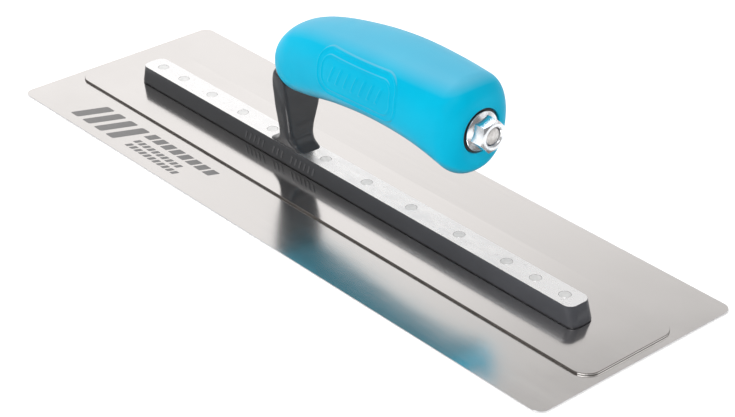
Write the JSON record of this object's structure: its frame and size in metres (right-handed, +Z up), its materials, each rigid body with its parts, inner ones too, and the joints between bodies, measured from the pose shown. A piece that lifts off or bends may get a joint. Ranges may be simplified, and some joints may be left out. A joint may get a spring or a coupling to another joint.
{
  "type": "finishing trowel",
  "caption": "Steel finishing trowel: thin rectangular blade on a backing plate, riveted cast shank and a moulded grip held by a flange nut.",
  "frame": {"origin": "centre of the blade's flat working face", "axes": "+X along the blade towards the nut end of the handle, +Z up from the working face through the handle, +Y across the blade"},
  "size_m": [0.355, 0.114, 0.0891],
  "materials": {
    "blade_steel": "ground and polished stainless spring steel",
    "plate_steel": "ground and polished stainless steel",
    "cast_shank": "cast aluminium with satin charcoal coating, top of the bar milled bare",
    "rivet_steel": "steel, milled flush",
    "black_plastic": "moulded, matt",
    "blue_overmould": "soft satin thermoplastic rubber",
    "stud_zinc": "zinc plated, sawn end",
    "nut_zinc": "bright zinc plate"
  },
  "bodies": {
    "root": {"blade": "blade_steel", "backing_plate": "plate_steel", "shank": "cast_shank", "rivet_01": "rivet_steel", "rivet_02": "rivet_steel", "rivet_03": "rivet_steel", "rivet_04": "rivet_steel", "rivet_05": "rivet_steel", "rivet_06": "rivet_steel", "rivet_07": "rivet_steel", "rivet_08": "rivet_steel", "rivet_09": "rivet_steel", "rivet_10": "rivet_steel", "rivet_11": "rivet_steel", "rivet_12": "rivet_steel", "handle_core": "black_plastic", "handle_grip": "blue_overmould", "tie_stud": "stud_zinc", "flange_nut": "nut_zinc"}
  },
  "joints": []
}
